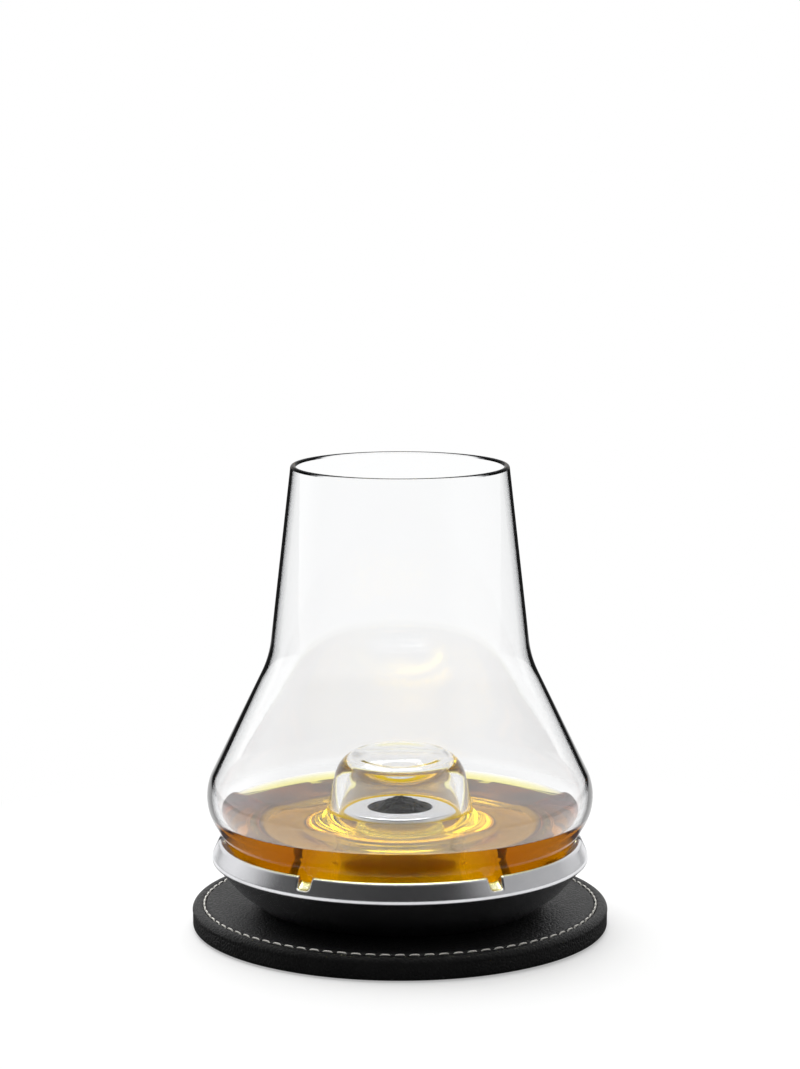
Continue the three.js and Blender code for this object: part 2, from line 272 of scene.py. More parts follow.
def rounded(corners, step=ARC_STEP):
    """The points of an outline with each inner corner rounded by its arc."""
    points = []
    for i, here in enumerate(corners):
        at = Vector(here[:2])
        if not here[2] or i in (0, len(corners) - 1):
            points.append(at)
            continue
        before, after = corners[i - 1], corners[i + 1]
        back = (Vector(before[:2]) - at).normalized()
        ahead = (Vector(after[:2]) - at).normalized()
        half = back.angle(ahead) / 2
        room = min(room_towards(here, before), room_towards(here, after))
        reach = min(here[2] / math.tan(half), room)
        radius = reach * math.tan(half)
        centre = at + (back + ahead).normalized() * (radius / math.sin(half))
        start = at + back * reach - centre
        end = at + ahead * reach - centre
        sweep = math.atan2(start.x * end.y - start.y * end.x, start.dot(end))
        steps = max(2, math.ceil(abs(sweep) / step))
        for k in range(steps + 1):
            turn = sweep * k / steps
            spoke = Vector((
                start.x * math.cos(turn) - start.y * math.sin(turn),
                start.x * math.sin(turn) + start.y * math.cos(turn),
            ))
            points.append(centre + spoke)
    return points


def offset(corners, distances):
    """Moves each line of an outline to its left by its own distance and finds the corners again."""
    lines = []
    for a, b, distance in zip(corners, corners[1:], distances):
        along = (Vector(b[:2]) - Vector(a[:2])).normalized()
        lines.append((Vector(a[:2]) + Vector((-along.y, along.x)) * distance, along))
    crossings = []
    for (p, u), (q, v) in zip(lines, lines[1:]):
        between = q - p
        t = (between.x * v.y - between.y * v.x) / (u.x * v.y - u.y * v.x)
        crossings.append(p + u * t)
    return crossings


def radius_at(a, b, z):
    """Radius of the straight line from corner a to corner b at a height."""
    return a[0] + (b[0] - a[0]) * (z - a[1]) / (b[1] - a[1])


def below(points, level):
    """The part of an outline below a level, cut off square at both ends."""
    kept = []
    for last, here in zip([None] + points, points):
        if last is not None and (last.y > level) != (here.y > level):
            kept.append(last.lerp(here, (level - last.y) / (here.y - last.y)))
        if here.y <= level:
            kept.append(here)
    return kept


def split_at(points, level):
    """An outline with a point added wherever it crosses a level."""
    split = points[:1]
    for last, here in zip(points, points[1:]):
        if (last.y - level) * (here.y - level) < 0:
            split.append(last.lerp(here, (level - last.y) / (here.y - last.y)))
        split.append(here)
    return split


def raised(points, height):
    """An outline moved up."""
    return [Vector((p[0], p[1] + height)) for p in points]


def closed_mesh(name, points, faces):
    """A smooth mesh from points and faces, with doubles merged and faces pointing outwards."""
    mesh = bpy.data.meshes.new(name)
    mesh.from_pydata([tuple(p) for p in points], [], faces)
    work = bmesh.new()
    work.from_mesh(mesh)
    bmesh.ops.remove_doubles(work, verts=work.verts, dist=MERGE_DISTANCE)
    bmesh.ops.dissolve_degenerate(work, edges=work.edges, dist=FLAT_DISTANCE)
    bmesh.ops.recalc_face_normals(work, faces=work.faces)
    work.to_mesh(mesh)
    work.free()
    smooth(mesh)
    return mesh


def smooth(mesh):
    """Shades every face smooth."""
    mesh.polygons.foreach_set("use_smooth", [True] * len(mesh.polygons))


def loft(name, rings):
    """A mesh from a grid of points: rings[column][row], closed round the columns and along the rows."""
    grid = np.asarray(rings, float)
    columns, rows = grid.shape[:2]
    faces = []
    for c in range(columns):
        ahead = (c + 1) % columns
        for r in range(rows):
            up = (r + 1) % rows
            faces.append((c * rows + r, ahead * rows + r, ahead * rows + up, c * rows + up))
    return closed_mesh(name, grid.reshape(-1, 3), faces)


def turned(name, outline, columns, bend=None):
    """Turns an outline about the upright axis. bend moves each point by its angle, radius and height."""
    rings = []
    for c in range(columns):
        angle = FULL_TURN * c / columns
        ring = []
        for p in outline:
            r, z = bend(angle, p[0], p[1]) if bend else (p[0], p[1])
            ring.append((r * math.cos(angle), r * math.sin(angle), z))
        rings.append(ring)
    return loft(name, rings)


def new_object(name, mesh, material):
    """A piece with one finish, at the origin."""
    mesh.materials.append(material)
    piece = bpy.data.objects.new(name, mesh)
    bpy.context.scene.collection.objects.link(piece)
    return piece


def mark_faces(mesh, name, rule):
    """Writes what a rule says of each face as an attribute: a number, or 1 for yes and 0 for no."""
    marks = [float(rule(face)) for face in mesh.polygons]
    mesh.attributes.new(name, "FLOAT", "FACE").data.foreach_set("value", marks)


# Tasting glass and whisky
OUTER_WALL = [
    corner(0, 0),
    corner(FOOT_RADIUS, 0, FOOT_FILLET),
    corner(BOWL_RADIUS, BOWL_HEIGHT, BOWL_FILLET),
    corner(NECK_BASE_RADIUS, NECK_BASE_HEIGHT, NECK_FILLET),
    corner(RIM_RADIUS, GLASS_HEIGHT, RIM_FILLET),
    corner(0, GLASS_HEIGHT),
]
INNER_FILLETS = [FOOT_FILLET, BOWL_FILLET - BOWL_WALL, NECK_FILLET + NECK_WALL, RIM_FILLET]
HOLLOW = [
    corner(0, HOLLOW_HEIGHT + HOLLOW_CROWN),
    corner(HOLLOW_TOP_RADIUS, HOLLOW_HEIGHT, HOLLOW_TOP_FILLET),
    corner(HOLLOW_MOUTH_RADIUS, 0, HOLLOW_MOUTH_FILLET),
]


def inner_wall(extra):
    """Corners of the bowl's inside, with walls that are thicker by extra."""
    walls = [GLASS_FLOOR + extra, UNDER_WALL + extra, BOWL_WALL + extra, NECK_WALL + extra, 0]
    return [corner(p.x, p.y, fillet) for p, fillet in zip(offset(OUTER_WALL, walls), INNER_FILLETS)]


def dome(extra):
    """Corners of the punt as it stands in the bowl, with a wall that is thicker by extra."""
    out = PUNT_WALL + extra
    floor = GLASS_FLOOR + extra
    top = HOLLOW_HEIGHT + PUNT_ROOF
    return [
        corner(radius_at(HOLLOW[1], HOLLOW[2], floor) + out, floor, PUNT_BASE_FILLET),
        corner(radius_at(HOLLOW[1], HOLLOW[2], top) + out, top, PUNT_TOP_FILLET),
        corner(0, top + PUNT_CROWN),
    ]


def glass_in_air(face):
    """Whether a face of the glass meets air and not whisky."""
    r = math.hypot(face.center.x, face.center.y)
    up = face.center.z - GLASS_FOOT
    punt = radius_at(HOLLOW[1], HOLLOW[2], up) + PUNT_WALL / 2
    wall = radius_at(OUTER_WALL[1], OUTER_WALL[2], up) - UNDER_WALL / 2
    waterline = SHORE if r > RIM_RADIUS else WHISKY_LEVEL
    return up > waterline or up < GLASS_FLOOR * UNDERSIDE_SHARE or not punt < r < wall


def glass_edge_shade(face):
    """How strongly painted shade darkens a face of the glass as it turns away: the rim, and the outer wall
    above the whisky.
    """
    middle, facing = face.center, face.normal
    if middle.z > GLASS_TOP - RIM_FILLET:
        return RIM_SHADE
    outwards = facing.x * middle.x + facing.y * middle.y
    beyond_punt = math.hypot(middle.x, middle.y) > RIM_RADIUS - 2 * NECK_WALL
    return outwards > 0 and beyond_punt and middle.z - GLASS_FOOT > SHORE


def make_glass(material):
    """The glass, marked where it meets air and where painted edge shade darkens it as it turns away."""
    outside = HOLLOW + OUTER_WALL[1:5]
    inside = inner_wall(0)[::-1] + dome(0)
    outline = rounded(outside + inside)
    for level in (WHISKY_LEVEL, SHORE, GLASS_HEIGHT - RIM_FILLET):
        outline = split_at(outline, level)
    mesh = turned("blown_glass", raised(outline, GLASS_FOOT), GLASS_COLUMNS)
    mark_faces(mesh, IN_AIR, glass_in_air)
    mark_faces(mesh, PAINTED_EDGE_SHADE, glass_edge_shade)
    return new_object("blown_glass", mesh, material)


def make_whisky(material):
    """The ring of whisky round the punt, drawn up a little where it wets the glass."""
    walls = rounded(inner_wall(-WHISKY_BITE)[::-1] + dome(-WHISKY_BITE))
    wetted = below(walls, WHISKY_LEVEL)
    wetted = [p for p in below(walls, SHORE) if p.x > wetted[0].x] + wetted
    shore, punt = wetted[0].x, wetted[-1].x
    surface = []
    for k in range(1, SURFACE_RINGS):
        share = (1 - math.cos(math.pi * k / SURFACE_RINGS)) / 2
        r = punt + (shore - punt) * share
        pull = math.exp(-(shore - r) / MENISCUS_WIDTH)
        surface.append(Vector((r, WHISKY_LEVEL + MENISCUS_RISE * pull)))
    mesh = turned("whisky_ring", raised(wetted + surface, GLASS_FOOT), GLASS_COLUMNS)
    mark_faces(mesh, IN_AIR, lambda face: face.normal.z > SURFACE_TILT)
    return new_object("whisky_measure", mesh, material)


# Cooler
SEAT_CONE = [
    corner(0, COOLER_FLOOR),
    corner(FOOT_RADIUS, COOLER_FLOOR),
    corner(BOWL_RADIUS, BOWL_HEIGHT + COOLER_FLOOR),
]
CONE_FOOT = offset(SEAT_CONE, [0, -SEAT_CLEARANCE])[0].x
UNDER_FOOT = offset(SEAT_CONE, [0, -SEAT_CLEARANCE - COOLER_WALL])[0].x
CONE_SLOPE = (BOWL_RADIUS - FOOT_RADIUS) / BOWL_HEIGHT
RIM_IN = CONE_FOOT + (COOLER_HEIGHT - COOLER_FLOOR) * CONE_SLOPE
RIM_OUT = RIM_IN + RIM_LIP
BAND_RADIUS = RIM_OUT + BAND_FLARE
BAND_FOOT = COOLER_HEIGHT - BAND_HEIGHT


def boss_radius(z):
    """Radius of the boss, which stands clear of the punt's hollow."""
    return radius_at(HOLLOW[1], HOLLOW[2], z - COOLER_FLOOR) - BOSS_CLEARANCE


def cooler_underside():
    """Outline of the dish from the middle of its foot to the foot of the band."""
    return rounded([
        corner(0, 0),
        corner(UNDER_FOOT - COOLER_FOOT_INSET, 0, COOLER_FOOT_FILLET),
        corner(UNDER_FOOT, COOLER_FLOOR, UNDERSIDE_FILLET),
        corner(BAND_RADIUS - BAND_TUCK, BAND_FOOT - BAND_LIP, BAND_LIP_FILLET),
        corner(BAND_RADIUS, BAND_FOOT - BAND_EDGE, BAND_EDGE_FILLET),
        corner(BAND_RADIUS, BAND_FOOT, BAND_FILLET),
        corner(RIM_OUT, COOLER_HEIGHT),
    ], COOLER_ARC_STEP)[:-1]


def cooler_upside():
    """Outline of the dish from the foot of the cone over the seat and the boss to the badge's seat."""
    recess = BADGE_RADIUS + BADGE_GAP
    recess_floor = BADGE_SEAT - COOLER_FOOT
    return rounded([
        corner(RIM_IN, COOLER_HEIGHT),
        corner(CONE_FOOT, COOLER_FLOOR - SEAT_GAP, SEAT_FILLET),
        corner(boss_radius(COOLER_FLOOR), COOLER_FLOOR - SEAT_GAP, BOSS_FOOT_FILLET),
        corner(boss_radius(BOSS_HEIGHT), BOSS_HEIGHT, BOSS_TOP_FILLET),
        corner(recess, BOSS_HEIGHT + BOSS_CROWN, BADGE_SEAT_FILLET),
        corner(recess, recess_floor, BADGE_SEAT_FILLET),
        corner(0, recess_floor),
    ], COOLER_ARC_STEP)[1:]


def notch_outline():
    """Half of a notch seen from outside, from its middle to the rim: (sideways, height from the rim)."""
    half = NOTCH_WIDTH / 2
    lean = NOTCH_DEPTH * math.tan(NOTCH_DRAFT)
    return rounded([
        corner(0, -NOTCH_DEPTH),
        corner(half - lean / 2, -NOTCH_DEPTH, NOTCH_FLOOR_FILLET),
        corner(half + lean / 2, 0, NOTCH_TOP_FILLET),
        corner(half + lean / 2 + 3 * NOTCH_TOP_FILLET, 0),
    ], NOTCH_ARC_STEP)


def notch_columns(outline):
    """Where the dish has its columns in and beside half a notch: (sideways, height from the rim)."""
    floor_end = outline[1].x
    floor = [Vector((floor_end * k / NOTCH_FLOOR_STEPS, outline[0].y)) for k in range(NOTCH_FLOOR_STEPS)]
    wall = outline[1:-1]
    steep = max(range(len(wall) - 1), key=lambda i: wall[i + 1].y - wall[i].y)
    low, high = wall[steep], wall[steep + 1]
    between = [low.lerp(high, k / NOTCH_WALL_STEPS) for k in range(1, NOTCH_WALL_STEPS)]
    beside = [Vector((wall[-1].x + distance, 0)) for distance in BESIDE_NOTCH]
    return floor + wall[:steep + 1] + between + wall[steep + 1:] + beside


def distance_to(outline, at):
    """Distance from a point to an outline."""
    distances = []
    for a, b in zip(outline, outline[1:]):
        along = b - a
        share = max(0, min(1, (at - a).dot(along) / along.length_squared))
        distances.append((a + along * share - at).length)
    return min(distances)


def edge_drop(distance):
    """How far a surface falls away at a distance from a rounded edge."""
    if distance >= NOTCH_EDGE:
        return 0.0
    return NOTCH_EDGE - math.sqrt(NOTCH_EDGE ** 2 - (NOTCH_EDGE - distance) ** 2)


def make_cooler(material):
    """The cast dish: foot, flared underside, banded rim with six notches, cone seat and boss."""
    lower = cooler_underside()
    upper = cooler_upside()
    band_low, cone_low = lower[-1], upper[0]
    notch = notch_outline()
    half_notch = notch_columns(notch)

    def column(angle, sideways, height):
        """One upright slice of the dish, cut off at a height from the rim."""
        top_outside = COOLER_HEIGHT + height
        top_inside = COOLER_HEIGHT + height * NOTCH_INNER_SHARE
        outside = []
        inside = []
        for share in COLUMN_SHARES:
            z = top_outside + (band_low.y - top_outside) * share
            r = radius_at(band_low, (RIM_OUT, COOLER_HEIGHT), z)
            drop = edge_drop(distance_to(notch, Vector((sideways, z - COOLER_HEIGHT))))
            outside.append((r - drop, z))
            z = top_inside + (cone_low.y - top_inside) * share * CONE_SHARE
            r = radius_at(cone_low, (RIM_IN, COOLER_HEIGHT), z)
            height_outside = (z - COOLER_HEIGHT) / NOTCH_INNER_SHARE
            drop = edge_drop(distance_to(notch, Vector((sideways, height_outside))))
            inside.append((r + drop * NOTCH_CONE_SHARE, z))
        floor = [Vector(inside[0]).lerp(Vector(outside[0]), share) for share in NOTCH_FLOOR_SHARES]
        profile = lower + outside[::-1] + floor[::-1] + inside + upper
        return [(r * math.cos(angle), r * math.sin(angle), z + COOLER_FOOT) for r, z in profile]

    middle_radius = (RIM_IN + BAND_RADIUS) / 2
    pitch = FULL_TURN / NOTCH_COUNT
    reach = half_notch[-1].x
    half_angle = reach / middle_radius
    columns = []
    for n in range(NOTCH_COUNT):
        middle = n * pitch
        for p in half_notch[:0:-1]:
            columns.append(column(middle - p.x / middle_radius, p.x, p.y))
        for p in half_notch:
            columns.append(column(middle + p.x / middle_radius, p.x, p.y))
        for k in range(1, PLAIN_COLUMNS):
            angle = middle + half_angle + (pitch - 2 * half_angle) * k / PLAIN_COLUMNS
            columns.append(column(angle, reach, 0))
    mesh = loft("cooler_casting", columns)
    return new_object("cooler_casting", mesh, material)


def make_badge(material):
    """A plain dark mound, cast with a fine rough skin."""
    skirt = BADGE_SEAT + BADGE_EDGE
    rise = (BADGE_TOP - skirt) * BADGE_RISE_SHARE
    tip = math.hypot(1, BADGE_BLUNT)
    outline = [
        (0, BADGE_SEAT),
        (BADGE_RADIUS, BADGE_SEAT),
        (BADGE_RADIUS, BADGE_SEAT + BADGE_EDGE * BADGE_EDGE_SHARE),
    ]
    for k in range(1, BADGE_RINGS + 1):
        share = 1 - k / BADGE_RINGS
        mound = (tip - math.hypot(share, BADGE_BLUNT)) / (tip - BADGE_BLUNT)
        outline.append((BADGE_RADIUS * share * BADGE_SHRINK, skirt + rise * mound ** BADGE_SWELL))

    def cast(angle, r, z):
        """Adds the lumps of the casting, which die out towards the edge."""
        if z < skirt:
            return r, z
        at = Vector((r * math.cos(angle), r * math.sin(angle), z)) / MM
        lumps = sum(noise.noise(at * waves) * height for waves, height in BADGE_LUMPS)
        held = min(1, (BADGE_RADIUS - r) / BADGE_CALM_EDGE)
        return r, z + (lumps * held - BADGE_SINK) * MM

    return new_object("boss_badge", turned("boss_badge", outline, BADGE_COLUMNS, cast), material)


# Coaster
def ring_noise(angle, waves, at=0.0):
    """A smooth random wave round the coaster."""
    return noise.noise(Vector((math.cos(angle) * waves, math.sin(angle) * waves, at)))


def sewn(angle, r, z):
    """Moves a point of the cover: its side a little wavy, its top creased and puckered by the stitches."""
    on_side = z < COASTER_TOP - EDGE_FILLET
    if on_side and r > COASTER_RADIUS - LEATHER_TURN + HEM_WIDTH:
        return r + SIDE_WAVE * ring_noise(angle, SIDE_WAVES) - SIDE_INSET, z
    if on_side or r < STITCH_RADIUS - CALM_MIDDLE:
        return r, z
    across = r - STITCH_RADIUS
    phase = (angle * STITCH_COUNT / FULL_TURN) % 1.0
    along = (phase - 0.5) * FULL_TURN / STITCH_COUNT * STITCH_RADIUS
    crease = CREASE_DEPTH * math.exp(-(across / CREASE_WIDTH) ** 2)
    hole = HOLE_DEPTH * math.exp(-(across ** 2 + along ** 2) / HOLE_WIDTH ** 2)
    puff = math.exp(-((abs(across) - PAD_PLACE) / PAD_WIDTH) ** 2)
    pad = PAD_RISE * puff * (PAD_EVEN + (1 - PAD_EVEN) * math.cos(phase * FULL_TURN))
    wave = TOP_WAVE * ring_noise(angle, TOP_WAVES, r * TOP_WAVE_DRIFT)
    return r, z - crease - hole + pad + wave - TOP_INSET


def make_cover(material):
    """The leather cover: rounded over the edge, drawn down along the stitches and puckered at each hole."""
    inner = COASTER_RADIUS - LEATHER_TURN
    stitch_zone = [STITCH_RADIUS - d * MM for d in SEWN_RINGS]
    middle = [STITCH_RADIUS - d * MM for d in MIDDLE_RINGS]
    edge = rounded([
        corner(inner, COVER_FOOT),
        corner(COASTER_RADIUS, COVER_FOOT, COVER_FOOT_FILLET),
        corner(COASTER_RADIUS, COASTER_TOP, EDGE_FILLET),
        corner(stitch_zone[0], COASTER_TOP),
    ], COVER_ARC_STEP)[:-1]
    side_low = COVER_FOOT + COVER_FOOT_FILLET + SIDE_MARGIN
    side_high = COASTER_TOP - EDGE_FILLET - SIDE_MARGIN
    rows = np.linspace(COVER_FOOT, COASTER_TOP, SIDE_ROWS)
    split = next(i for i, p in enumerate(edge) if p.y > side_low)
    edge[split:split] = [Vector((COASTER_RADIUS, z)) for z in rows if side_low < z < side_high]
    top = [Vector((r, COASTER_TOP)) for r in stitch_zone + middle + [0]]
    outline = [Vector((0, CORE_TOP)), Vector((inner, CORE_TOP))] + edge + top
    mesh = turned("leather_cover", outline, COVER_COLUMNS, sewn)
    return new_object("leather_cover", mesh, material)


def make_base(material):
    """The leather disc that closes the coaster, grooved where the under thread runs."""
    half = BASE_GROOVE_HALF
    half_floor = half * BASE_GROOVE_TAPER
    outline = rounded([
        corner(0, 0),
        corner(STITCH_RADIUS - half, 0, BASE_GROOVE_FILLET),
        corner(STITCH_RADIUS - half_floor, BASE_GROOVE_DEPTH, BASE_GROOVE_FILLET),
        corner(STITCH_RADIUS + half_floor, BASE_GROOVE_DEPTH, BASE_GROOVE_FILLET),
        corner(STITCH_RADIUS + half, 0, BASE_GROOVE_FILLET),
        corner(BASE_RADIUS, 0, BASE_EDGE_FILLET),
        corner(BASE_RADIUS, CORE_FOOT),
        corner(0, CORE_FOOT),
    ], BASE_ARC_STEP)
    return new_object("leather_base", turned("leather_base", outline, GLASS_COLUMNS), material)


def stitch_shape(name, flip):
    """One stitch of twisted thread along X, its two ends bent into the leather. flip turns it over."""
    points = []
    for k in range(STITCH_RINGS + 1):
        share = k / STITCH_RINGS
        x = (share - 0.5) * STITCH_LENGTH
        from_middle = abs(2 * share - 1)
        sink = from_middle ** DIP_POWER * STITCH_DIP
        taper = 1 - STITCH_TAPER * from_middle ** TAPER_POWER
        turn = THREAD_TWIST * share * FULL_TURN / THREAD_STRANDS
        for i in range(STITCH_SIDES):
            angle = FULL_TURN * i / STITCH_SIDES
            lobe = 1 + STRAND_RELIEF * math.cos(THREAD_STRANDS * (angle - turn))
            r = THREAD_RADIUS * lobe * taper
            points.append((x, r * math.cos(angle), flip * (r * math.sin(angle) - sink)))
    faces = []
    for k in range(STITCH_RINGS):
        here, there = k * STITCH_SIDES, (k + 1) * STITCH_SIDES
        for i in range(STITCH_SIDES):
            j = (i + 1) % STITCH_SIDES
            faces.append((here + i, here + j, there + j, there + i))
    for end in (0, STITCH_RINGS):
        faces.append(tuple(end * STITCH_SIDES + i for i in range(STITCH_SIDES)))
    return closed_mesh(name, points, faces)


# Nodes
def link(tree, out, into):
    """Joins two sockets."""
    tree.links.new(out, into)


def node(tree, kind, **values):
    """A node with its settings."""
    made = tree.nodes.new(kind)
    for name, value in values.items():
        setattr(made, name, value)
    return made


def math_node(tree, operation, a, b=0.0):
    """Arithmetic on sockets or plain numbers."""
    made = node(tree, "ShaderNodeMath", operation=operation)
    for socket, value in zip(made.inputs, (a, b)):
        if isinstance(value, (int, float)):
            socket.default_value = value
        else:
            link(tree, value, socket)
    return made.outputs[0]


def stitch_ring_tree():
    """Geometry nodes: copies of one stitch, evenly round a circle, each a little out of line."""
    tree = bpy.data.node_groups.new("stitch_ring", "GeometryNodeTree")
    wanted = {
        "Stitch": "Geometry",
        "Count": "Int",
        "Radius": "Float",
        "Height": "Float",
        "Skew": "Float",
        "Seed": "Int",
        "Thread": "Material",
    }
    for name, kind in wanted.items():
        tree.interface.new_socket(name, in_out="INPUT", socket_type="NodeSocket" + kind)
    tree.interface.new_socket("Ring", in_out="OUTPUT", socket_type="NodeSocketGeometry")
    given = node(tree, "NodeGroupInput").outputs
    result = node(tree, "NodeGroupOutput")

    index = node(tree, "GeometryNodeInputIndex")
    turn = math_node(tree, "DIVIDE", index.outputs[0], given["Count"])
    angle = math_node(tree, "MULTIPLY", turn, FULL_TURN)
    spot = node(tree, "ShaderNodeCombineXYZ")
    for axis, wave in enumerate(("COSINE", "SINE")):
        along = math_node(tree, "MULTIPLY", math_node(tree, wave, angle), given["Radius"])
        link(tree, along, spot.inputs[axis])
    link(tree, given["Height"], spot.inputs[2])
    points = node(tree, "GeometryNodePoints")
    link(tree, given["Count"], points.inputs["Count"])
    link(tree, spot.outputs[0], points.inputs["Position"])

    skew = node(tree, "FunctionNodeRandomValue", data_type="FLOAT")
    least, most = [s for s in skew.inputs if s.type == "VALUE"][:2]
    link(tree, math_node(tree, "MULTIPLY", given["Skew"], -1.0), least)
    link(tree, given["Skew"], most)
    link(tree, given["Seed"], skew.inputs["Seed"])
    random_angle = next(s for s in skew.outputs if s.type == "VALUE" and s.enabled)
    straight = math_node(tree, "ADD", angle, math.pi / 2)
    heading = node(tree, "ShaderNodeCombineXYZ")
    link(tree, math_node(tree, "ADD", straight, random_angle), heading.inputs[2])
    rotation = node(tree, "FunctionNodeEulerToRotation")
    link(tree, heading.outputs[0], rotation.inputs[0])

    copies = node(tree, "GeometryNodeInstanceOnPoints")
    link(tree, points.outputs[0], copies.inputs["Points"])
    link(tree, given["Stitch"], copies.inputs["Instance"])
    link(tree, rotation.outputs[0], copies.inputs["Rotation"])
    whole = node(tree, "GeometryNodeRealizeInstances")
    link(tree, copies.outputs[0], whole.inputs[0])
    dressed = node(tree, "GeometryNodeSetMaterial")
    link(tree, whole.outputs[0], dressed.inputs["Geometry"])
    link(tree, given["Thread"], dressed.inputs["Material"])
    link(tree, dressed.outputs[0], result.inputs[0])
    return tree


def make_stitches(name, tree, height, flip, seed, material):
    """A ring of stitches as one plain mesh."""
    maker = bpy.data.objects.new(name + "_maker", stitch_shape(name + "_stitch", flip))
    bpy.context.scene.collection.objects.link(maker)
    modifier = maker.modifiers.new("stitch_ring", "NODES")
    modifier.node_group = tree
    wanted = {
        "Count": STITCH_COUNT,
        "Radius": STITCH_RADIUS,
        "Height": height,
        "Skew": STITCH_SKEW,
        "Seed": seed,
        "Thread": material,
    }
    for item in tree.interface.items_tree:
        if item.in_out == "INPUT" and item.name in wanted:
            modifier[item.identifier] = wanted[item.name]
    graph = bpy.context.evaluated_depsgraph_get()
    mesh = bpy.data.meshes.new_from_object(maker.evaluated_get(graph))
    mesh.name = name
    maker.modifiers.remove(modifier)
    bpy.data.objects.remove(maker)
    mesh.materials.clear()
    smooth(mesh)
    return new_object(name, mesh, material)


# Finishes
def new_material(name):
    """A material, its node tree and its shader."""
    material = bpy.data.materials.new(name)
    material.use_nodes = True
    tree = material.node_tree
    shader = next(n for n in tree.nodes if n.type == "BSDF_PRINCIPLED")
    return material, tree, shader


def set_sockets(made, values):
    """Gives a node's sockets their plain values."""
    for name, value in values.items():
        made.inputs[name].default_value = value


def object_noise(tree, size, detail=4.0, roughness=0.55):
    """A noise on Object coordinates whose features are about size across."""
    coordinates = node(tree, "ShaderNodeTexCoord")
    texture = node(tree, "ShaderNodeTexNoise")
    link(tree, coordinates.outputs["Object"], texture.inputs["Vector"])
    set_sockets(texture, {"Scale": 1 / size, "Detail": detail, "Roughness": roughness})
    return texture.outputs["Fac"]


def object_cells(tree, size):
    """Distance to the edges of cells on Object coordinates that are about size across."""
    coordinates = node(tree, "ShaderNodeTexCoord")
    texture = node(tree, "ShaderNodeTexVoronoi", feature="DISTANCE_TO_EDGE")
    link(tree, coordinates.outputs["Object"], texture.inputs["Vector"])
    set_sockets(texture, {"Scale": 1 / size})
    return texture.outputs["Distance"]


def ramp(tree, value, stops):
    """A colour ramp over a value: stops are (position, colour)."""
    made = node(tree, "ShaderNodeValToRGB")
    first, last = made.color_ramp.elements
    for element, (position, colour) in ((first, stops[0]), (last, stops[-1])):
        element.position = position
        element.color = (*colour, 1)
    for position, colour in stops[1:-1]:
        made.color_ramp.elements.new(position).color = (*colour, 1)
    link(tree, value, made.inputs["Fac"])
    return made.outputs["Color"]


def spread(tree, value, low, high, from_low=0.3, from_high=0.7):
    """A value mapped to the range from low to high, and held there."""
    made = node(tree, "ShaderNodeMapRange")
    link(tree, value, made.inputs["Value"])
    set_sockets(made, {"From Min": from_low, "From Max": from_high, "To Min": low, "To Max": high})
    return made.outputs[0]


def bumped(tree, height, depth, strength=1.0, under=None):
    """A surface direction that is roughened by a height, over another one where there is one."""
    made = node(tree, "ShaderNodeBump")
    set_sockets(made, {"Strength": strength, "Distance": depth})
    link(tree, height, made.inputs["Height"])
    if under is not None:
        link(tree, under, made.inputs["Normal"])
    return made.outputs[0]


def face_mark(tree, name):
    """The number that mark_faces gave to a face."""
    return node(tree, "ShaderNodeAttribute", attribute_name=name).outputs["Fac"]


def material_output(tree):
    """The node that a material ends in."""
    return next(n for n in tree.nodes if n.type == "OUTPUT_MATERIAL")


def bending(tree, where_wetted, in_air):
    """How strongly a piece bends light: one value where glass and whisky touch, another in air."""
    return spread(tree, face_mark(tree, IN_AIR), where_wetted, in_air, 0.0, 1.0)


def clear_glass():
    """Clear glass with painted shade: its colour and reflection tint go dark where the outer wall turns away,
    standing in for the dark edges of thick glass.
    """
    material, tree, shader = new_material("clear_blown_glass")
    set_sockets(shader, {"Transmission Weight": 1, "Roughness": 0, "IOR": GLASS_IOR})
    facing = node(tree, "ShaderNodeLayerWeight").outputs["Facing"]
    turned_away = math_node(tree, "MULTIPLY", facing, face_mark(tree, PAINTED_EDGE_SHADE))
    # painted shade: the glass's colour runs from clear through grey to near black as its outer wall turns
    # away
    clear = (0.995, 0.998, 1)
    grey = (0.55, 0.56, 0.57)
    dark = (0.02, 0.02, 0.022)
    painted_edge_tint = ramp(tree, turned_away, [(0, clear), (0.6, clear), (0.7, grey), (0.77, dark), (1, dark)])
    link(tree, painted_edge_tint, shader.inputs["Base Color"])
    # painted shade: the reflection tint also fades to near black at these edges
    link(tree, spread(tree, turned_away, 1.0, 0.08, 0.66, 0.78), shader.inputs["Specular Tint"])
    dulled = spread(tree, turned_away, 0.0, GLASS_IOR - EDGE_IOR, 0.76, 1.0)
    plain = bending(tree, GLASS_IOR / WHISKY_IOR, GLASS_IOR)
    link(tree, math_node(tree, "SUBTRACT", plain, dulled), shader.inputs["IOR"])
    ripple = object_noise(tree, size=22 * MM, detail=1.0)
    link(tree, bumped(tree, ripple, depth=0.25 * MM, strength=0.25), shader.inputs["Normal"])
    return material


def amber_whisky():
    """Clear liquid that is yellow where it is thin and orange where it is deep."""
    material, tree, shader = new_material("amber_whisky")
    set_sockets(shader, {
        "Base Color": (1, 1, 1, 1),
        "Transmission Weight": 1,
        "Roughness": 0,
        "IOR": WHISKY_IOR,
    })
    link(tree, bending(tree, 1.0, WHISKY_IOR), shader.inputs["IOR"])
    depth = node(tree, "ShaderNodeVolumeAbsorption")
    set_sockets(depth, {"Color": (0.957, 0.893, 0, 1), "Density": 220})
    link(tree, depth.outputs[0], material_output(tree).inputs["Volume"])
    return material


def satin_metal():
    """Cast metal with faint clouds of tone and a fine satin grain."""
    material, tree, shader = new_material("satin_cast_metal")
    cloud = object_noise(tree, size=9 * MM, detail=5.0)
    tone = ramp(tree, cloud, [(0.3, (0.74, 0.742, 0.765)), (0.7, (0.82, 0.822, 0.845))])
    link(tree, tone, shader.inputs["Base Color"])
    set_sockets(shader, {"Metallic": 1})
    grain = object_noise(tree, size=0.22 * MM, detail=3.0)
    link(tree, spread(tree, grain, low=0.2, high=0.27), shader.inputs["Roughness"])
    link(tree, bumped(tree, grain, depth=0.004 * MM, strength=0.2), shader.inputs["Normal"])
    return material


